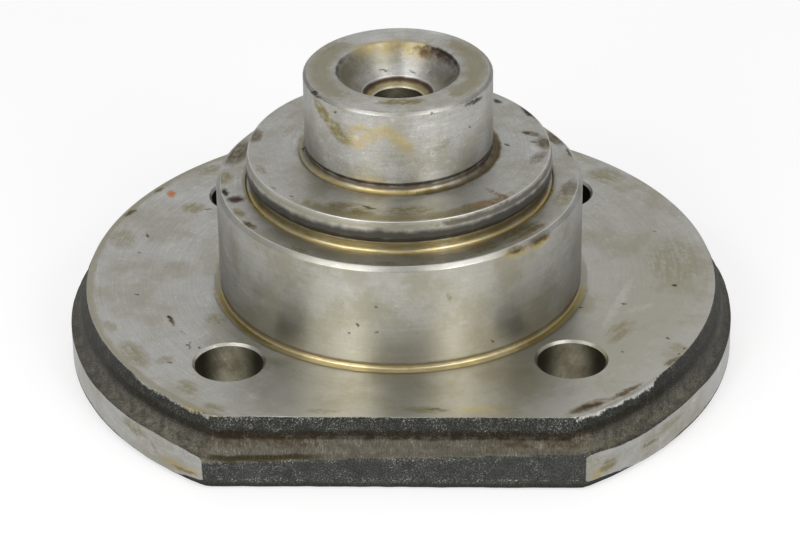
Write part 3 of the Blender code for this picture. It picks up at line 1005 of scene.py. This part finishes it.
# Bump, and anisotropy round the axis, rough across the turning marks.
def finishTurned(tree, shader, place, height, look):
    bump = {"Strength": look["bump"], "Distance": look["bumpHeight"], "Height": height}
    fill(tree, shader, {
        "Normal": addNode(tree, "Bump", bump).outputs[0],
        "Anisotropic": look["anisotropy"],
        "Anisotropic Rotation": 0.25,
        "Tangent": vector(tree, "CROSS_PRODUCT", (0, 0, 1), place["Direction"]),
    })


# Stem: turned steel with the gold grooves, oil down the lower half of the boss, and its marks, with
# painted shade on the walls toward the left and right.
# Bump heights are in metres.
turnedSteel = dict(
    steel=(0.45, 0.447, 0.425, 1.0), rough=0.38, rings=2.6, contrast=1.35, scratches=0.3,
    anisotropy=0.6, bump=0.12, bumpHeight=0.0002, film={"Size": 10.0, "Cover": 0.62, "Seed": 3.0},
    lowWindow=(33.0, 24.0), lowCover=(0.35, 0.75), lowStrength=0.5, lightStrength=0.35,
    frontWindow=(0.2, 0.9, 0.0, 0.6), frontHeight=(60.0, 50.0),
    sideWindow=(0.75, 0.15, 0.0, 0.42), wallWindow=(0.75, 0.45),
)


def makeStemMaterial(groups):
    look = turnedSteel
    material, tree, shader = newMaterial("turnedStem")
    place = useGroup(tree, groups["place"])
    turned = turnedFinish(tree, groups, look)
    film = useGroup(tree, groups["film"], look["film"])[0]
    lowBoss = fade(tree, place["Height"], *look["lowWindow"])
    lowBoss = times(tree, lowBoss, ease(tree, film, *look["lowCover"]), look["lowStrength"])
    lightFilm = times(tree, film, look["lightStrength"])
    front = dot(tree, place["Direction"], (0, -1, 0))
    thin = fade(tree, front, *look["frontWindow"])
    thin = times(tree, thin, fade(tree, place["Height"], *look["frontHeight"]))
    upright = onAxis(tree, addNode(tree, "TexCoord").outputs["Normal"], "Z")
    # Painted shade: the walls darken toward the left and right, standing in for the dark sides of the
    # turned steel's reflection.
    sides = fade(tree, front, *look["sideWindow"])
    sides = times(tree, sides, fade(tree, upright, *look["wallWindow"]))
    extra = {"thinOil": [thin], "olive": [lowBoss, lightFilm], "dark": [sides]}
    colour, roughness, metal = addStainsAndPaintedLight(
        tree, place, groups, stemMarks, stemRings, extra, turned["Colour"], turned["Roughness"]
    )
    fill(tree, shader, {"Base Color": colour, "Roughness": roughness, "Metallic": metal})
    finishTurned(tree, shader, place, turned["Height"], look)
    return material


# Flange: turned face, chamfer and rim, and the forging's skin wherever the tool didn't reach.
# Heights and sideways places are in mm, and front is 1 in the middle of the flat and falls with
# the cosine.
forgedScale = dict(
    # under is the colour of the painted shade along the bottom.
    upper=(0.036, 0.037, 0.032, 1.0), lower=(0.062, 0.064, 0.058, 1.0), land=(0.15, 0.136, 0.104, 1.0),
    stepLineTone=(0.02, 0.014, 0.007, 1.0), brown=(0.074, 0.052, 0.027, 1.0), groove=(0.04, 0.03, 0.01, 1.0),
    under=(0.046, 0.044, 0.036, 1.0), fleck=(0.5, 0.5, 0.47, 1.0), rounds=(0.075, 0.073, 0.066, 1.0),
    flecks=0.85, bump=0.7, bumpHeight=0.0004, anisotropy=0.5, specular=0.1,
    unevenNoise=(0.22, 3.0, 0.5), uneven=1.2, patchNoise=(0.45, 4.0, 0.65), patchWindow=(0.36, 0.60),
    flatWindow=(0.80, 0.86), roundWindow=(0.70, 0.35, 0.0, 0.5), underWindow=(2.0, 1.2),
    bandTop=(14.0, 11.5), bandFoot=(8.5, 9.5), leftEnd=(-14.0, -26.0), brownLeft=(-10.0, -24.0),
    brownRight=(12.0, 30.0), ridgeLevel=10.8, scratchLevel=2.6, wobbleNoise=(1.5, 3.0, 0.7),
    wobble=0.35, wave=0.10,
)
# The flange's turned steel, its oil, and where its rim was left as forged: in front, left and right.
flangeSteel = dict(
    steel=turnedSteel["steel"], rough=0.36, rings=2.2, contrast=1.35, scratches=0.35,
    film={"Size": 13.0, "Cover": 0.55, "Seed": 17.0}, filmStrength=(-10.0, 60.0, 0.34, 0.42),
    oilFrom=(0.55, -0.83, 0), oilWindow=(-0.1, 0.9), oilStrength=0.7,
    offset=-0.22, offsetWindow=(11.0, 13.0), sideOffset=-0.3, leftFrom=(-0.996, -0.087, 0),
    leftWindow=(0.84, 0.89), rightFrom=(0.996, -0.087, 0), rightWindow=(0.80, 0.86),
    lipFront=(0.76, 0.83), lipHeight=(2.4, 1.4), lipOffset=-1.6, edge=0.06,
)


# A soft band about one level: 1 on it, 0 beyond the half width.
def bandMask(tree, value, level, half):
    return fade(tree, apart(tree, value, level), half, 0.3 * half)


# Colour, roughness and relief of the forging's skin, with its dark lines, painted shade along the
# bottom, worn ridges and flecks.
def forgedSkin(tree, groups, place, front, uneven):
    look, landLow, landHigh = forgedScale, flange["landLow"], flange["landHigh"]
    sideways, height = onAxis(tree, place["Point"], "X"), place["Height"]
    level = plus(tree, height, uneven)
    onFlat = fade(tree, front, *look["flatWindow"])
    patches = fade(tree, noiseAt(tree, place["Point"], *look["patchNoise"]), *look["patchWindow"])
    shoulder = times(tree, sideways, -forging["shoulderTilt"], onFlat)
    tilted = plus(tree, height, shoulder)
    lowLevel = plus(tree, level, shoulder)
    low = fade(tree, tilted, landLow + 0.6, landLow - 0.6)
    scale = blendColours(tree, low, look["upper"], look["lower"])
    sheared = addNode(tree, "Attribute", attribute_name="sheared").outputs["Fac"]
    band = times(tree, fade(tree, height, *look["bandTop"]), fade(tree, tilted, *look["bandFoot"]))
    band = times(tree, band, ease(tree, patches, 0.35, 0.85))
    scale = blendColours(tree, most(tree, sheared, band), scale, look["land"])
    ends = [fade(tree, sideways, *look[end]) for end in ("brownLeft", "brownRight")]
    ends = most(tree, *ends)
    tinted = times(tree, bandMask(tree, level, landHigh - 1.3, 2.2), ease(tree, ends, 0.25, 1.0))
    tinted = times(tree, tinted, patches, onFlat, 0.8)
    scale = blendColours(tree, tinted, scale, look["brown"])
    # A darker line along the step above the land.
    upperLine = times(tree, bandMask(tree, level, landHigh + 0.4, 1.4), ease(tree, onFlat, 0.75, 1.0))
    upperLine = times(tree, upperLine, ease(tree, patches, 0.7, 1.0))
    scale = blendColours(tree, times(tree, upperLine, 0.95), scale, look["stepLineTone"])
    leftEnd = times(tree, fade(tree, sideways, *look["leftEnd"]), onFlat)
    lowerLine = bandMask(tree, lowLevel, landLow + 0.8, 1.2)
    lowerLine = times(tree, lowerLine, ease(tree, leftEnd, 0.15, 1.0))
    scale = blendColours(tree, times(tree, lowerLine, 0.9), scale, look["groove"])
    scale = blendColours(tree, fade(tree, front, *look["roundWindow"]), scale, look["rounds"])
    # Painted shade: the skin darkens toward the bottom, where it meets the floor.
    under = fade(tree, height, *look["underWindow"])
    scale = blendColours(tree, under, scale, look["under"])
    ridge = bandMask(tree, lowLevel, landLow - 0.35, 0.5)
    ridge = most(tree, ridge, times(tree, bandMask(tree, lowLevel, look["ridgeLevel"], 0.8), leftEnd))
    ridge = times(tree, ridge, ease(tree, leftEnd, 0.25, 0.8))
    scratch = bandMask(tree, level, look["scratchLevel"], 0.45)
    scratch = times(tree, scratch, ease(tree, patches, 0.2, 0.9))
    topEdge = fade(tree, level, flange["thickness"] - 1.3, flange["thickness"] - 0.1, 0.0, 0.9)
    crowd = times(tree, most(tree, ridge, scratch, topEdge), ease(tree, onFlat, 0.3, 1.0))
    darkLinesAndShade = most(tree, upperLine, lowerLine, under)
    fewer = fade(tree, darkLinesAndShade, 0.0, 0.8, 1.0, 0.25)
    fewer = times(tree, fewer, look["flecks"], ease(tree, onFlat, 0.4, 1.0))
    flecks = plus(tree, fewer, times(tree, crowd, 1.6))
    sockets = {"Scale": scale, "Fleck": look["fleck"], "Flecks": flecks, "Drawn": sheared}
    return useGroup(tree, groups["forged"], sockets)


# How much of the forging's skin is kept: all where the stock is under zero, none where it is over.
def skinKept(tree, place, front, uneven):
    look, direction = flangeSteel, place["Direction"]
    stock = addNode(tree, "Attribute", attribute_name="stock").outputs["Fac"]
    wobble = noiseAt(tree, place["Point"], *forgedScale["wobbleNoise"])
    wobble = times(tree, minus(tree, wobble, 0.5), forgedScale["wobble"])
    wobble = plus(tree, wobble, times(tree, uneven, forgedScale["wave"]))
    above = fade(tree, place["Height"], *look["offsetWindow"], 0.0, look["offset"])
    stock = plus(tree, stock, wobble, above)
    for side in ("left", "right"):
        facing = dot(tree, direction, look[side + "From"])
        stock = plus(tree, stock, fade(tree, facing, *look[side + "Window"], 0.0, look["sideOffset"]))
    lip = fade(tree, front, *look["lipFront"])
    lip = times(tree, lip, fade(tree, place["Height"], *look["lipHeight"]), look["lipOffset"])
    stock = plus(tree, stock, lip)
    ragged = plus(tree, place["Height"], wobble)
    belowFace = fade(tree, ragged, flange["thickness"] - 0.05, flange["thickness"] - 0.20)
    return times(tree, fade(tree, stock, look["edge"], -look["edge"]), belowFace)


def makeFlangeMaterial(groups):
    look = flangeSteel
    material, tree, shader = newMaterial("forgedFlange")
    place = useGroup(tree, groups["place"])
    turned = turnedFinish(tree, groups, look)
    uneven = noiseAt(tree, place["Point"], *forgedScale["unevenNoise"])
    uneven = times(tree, minus(tree, uneven, 0.5), forgedScale["uneven"])
    front = dot(tree, place["Direction"], (0, -1, 0))
    skin = forgedSkin(tree, groups, place, front, uneven)
    film = useGroup(tree, groups["film"], look["film"])[0]
    film = times(tree, film, fade(tree, onAxis(tree, place["Point"], "X"), *look["filmStrength"]))
    ahead = dot(tree, place["Direction"], look["oilFrom"])
    thin = times(tree, fade(tree, ahead, *look["oilWindow"]), look["oilStrength"])
    faceEdge = flange["radius"] - flange["faceInset"]
    strip = fade(tree, place["Radius"], faceEdge + 0.3, faceEdge + 0.5)
    thin = times(tree, thin, ease(tree, strip, 1.0, 0.0))
    colour, roughness, metal = addStainsAndPaintedLight(
        tree, place, groups, flangeMarks, flangeRings, {"thinOil": [thin], "olive": [film]},
        turned["Colour"], turned["Roughness"],
    )
    kept = skinKept(tree, place, front, uneven)
    fill(tree, shader, {
        "Base Color": blendColours(tree, kept, colour, skin["Colour"]),
        "Roughness": ease(tree, kept, roughness, skin["Roughness"]),
        "Metallic": ease(tree, kept, metal, 0.0),
        "Specular IOR Level": forgedScale["specular"],
    })
    finishTurned(tree, shader, place, times(tree, skin["Height"], kept), forgedScale)
    return material


# Drilled walls: darker, oily, with the drill's rings, and dim toward their sides and at the back.
drilledSteel = dict(
    steel=(0.44, 0.41, 0.31, 1.0), oil=(0.16, 0.13, 0.06, 1.0), shade=(0.045, 0.040, 0.022, 1.0),
    rings=2.0, contrast=1.2, scratches=0.0, rough=0.42, metal=0.9,
    film={"Size": 6.0, "Cover": 0.6, "Seed": 5.0}, filmStrength=0.5,
    asideWindow=(1.0, 7.0, 0.0, 0.96), backWindow=(10.0, 30.0, 0.0, 0.85),
)


def makeDrilledMaterial(groups):
    look = drilledSteel
    material, tree, shader = newMaterial("drilledWall")
    place = useGroup(tree, groups["place"])
    drilled = turnedFinish(tree, groups, look)
    film = useGroup(tree, groups["film"], look["film"])[0]
    colour = blendColours(tree, times(tree, film, look["filmStrength"]), drilled["Colour"], look["oil"])
    sideways = calc(tree, "ABSOLUTE", onAxis(tree, place["Point"], "X"))
    aside = calc(tree, "MINIMUM", apart(tree, sideways, 0.5 * bolts["square"]), sideways)
    colour = blendColours(tree, fade(tree, aside, *look["asideWindow"]), colour, look["shade"])
    backward = fade(tree, onAxis(tree, place["Point"], "Y"), *look["backWindow"])
    colour = blendColours(tree, backward, colour, look["shade"])
    rough = drilled["Roughness"]
    fill(tree, shader, {"Base Color": colour, "Roughness": rough, "Metallic": look["metal"]})
    return material


# Gives each face the material of where it lies: stem, flange or a drilled hole.
def dressPin(pin, materials):
    for material in materials:
        pin.data.materials.append(material)
    surface = pin.data
    centres = np.empty(len(surface.polygons) * 3)
    surface.polygons.foreach_get("center", centres)
    x, y, z = (centres.reshape(-1, 3) / mm).T
    radius = np.hypot(x, y)
    offset = np.hypot(np.abs(x) - 0.5 * bolts["square"], np.abs(y) - 0.5 * bolts["square"])
    inBolt = (offset < bolts["radius"] + 0.02) & (z < flange["thickness"] - bolts["chamfer"])
    inBore = (radius < bore["radius"] + 0.02) & (z > 1.0)
    kind = np.where(radius < stem["bossRadius"] + stem["bossRelief"][2], 0, 1)
    kind = np.where(inBolt | inBore, 2, kind)
    kind = np.where(z < 0.5, 1, kind)
    surface.polygons.foreach_set("material_index", kind.astype(np.int32))


# Floor: a pale matt sheet that takes the shadow. Camera, glossy and glass rays see it lifted
# toward white. Width is in metres.
floorLook = dict(width=6.0, shade=0.40, rough=0.9, lift=0.62, below=0.0002)


def makeFloor():
    half = 0.5 * floorLook["width"]
    corners = [(-half, -half, 0), (half, -half, 0), (half, half, 0), (-half, half, 0)]
    surface = bpy.data.meshes.new("floor")
    surface.from_pydata(corners, [], [(0, 1, 2, 3)])
    floor = addObject("floor", surface)
    floor.data.transform(Matrix.Translation((0, 0, -floorLook["below"])))
    material, tree, shader = newMaterial("paleFloor")
    rays = addNode(tree, "LightPath").outputs
    seen = most(tree, rays["Is Camera Ray"], rays["Is Glossy Ray"], rays["Is Transmission Ray"])
    fill(tree, shader, {
        "Base Color": (floorLook["shade"],) * 3 + (1.0,),
        "Roughness": floorLook["rough"],
        "Specular IOR Level": 0.0,
        "Emission Color": (1.0, 1.0, 1.0, 1.0),
        "Emission Strength": times(tree, seen, floorLook["lift"]),
    })
    floor.data.materials.append(material)


# Lamps: degrees from the front and up, distance, width and height in mm, and how bright they look.
lamps = dict(
    behind=dict(turn=178, rise=36, away=900, width=1200, height=520, glow=0.42),
    leftBroad=dict(turn=-42, rise=33, away=950, width=560, height=460, glow=3.5),
    rightBroad=dict(turn=46, rise=33, away=950, width=520, height=460, glow=2.6),
    leftBand=dict(turn=-27, rise=33, away=900, width=170, height=420, glow=5.4),
    rightBand=dict(turn=31, rise=33, away=900, width=220, height=420, glow=4.6),
    leftSide=dict(turn=-92, rise=15, away=900, width=1000, height=330, glow=0.25),
    rightSide=dict(turn=88, rise=15, away=900, width=1000, height=330, glow=0.22),
)
# World strength against the sine of the height over the horizon
studio = dict(low=0.05, high=0.62, lowAt=0.10, highAt=0.85)


def makeLights():
    for name, lamp in lamps.items():
        turn, rise = math.radians(lamp["turn"]), math.radians(lamp["rise"])
        data = bpy.data.lights.new(name, "AREA")
        data.shape = "RECTANGLE"
        data.size, data.size_y = lamp["width"] * mm, lamp["height"] * mm
        data.energy = lamp["glow"] * math.pi * data.size * data.size_y
        light = addObject(name, data)
        flat = math.cos(rise)
        away = Vector((math.sin(turn) * flat, -math.cos(turn) * flat, math.sin(rise)))
        light.location = away * lamp["away"] * mm + Vector((0, 0, 0.03))
        light.rotation_euler = (-away).to_track_quat("-Z", "Y").to_euler()
    world = bpy.data.worlds.new("studio")
    bpy.context.scene.world = world
    world.use_nodes = True
    tree = world.node_tree
    height = onAxis(tree, addNode(tree, "TexCoord").outputs["Generated"], "Z")
    strength = fade(tree, height, studio["lowAt"], studio["highAt"], studio["low"], studio["high"])
    fill(tree, tree.nodes["Background"], {"Color": (1.0, 1.0, 1.0, 1.0), "Strength": strength})


placeCamera()
pin = makePin()
placeGroup = makePlaceGroup()
groups = dict(
    place=placeGroup,
    turned=makeTurnedGroup(placeGroup),
    spot=makeSpotGroup(),
    ring=makeRingGroup(),
    film=makeFilmGroup(placeGroup),
    forged=makeForgedGroup(placeGroup),
)
dressPin(pin, [makeStemMaterial(groups), makeFlangeMaterial(groups), makeDrilledMaterial(groups)])
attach(pin, "root")
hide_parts("pivot_pin")
print("pin dressed with", len(pin.data.materials), "materials")
makeFloor()
makeLights()
bpy.context.scene.view_settings.view_transform = "Standard"
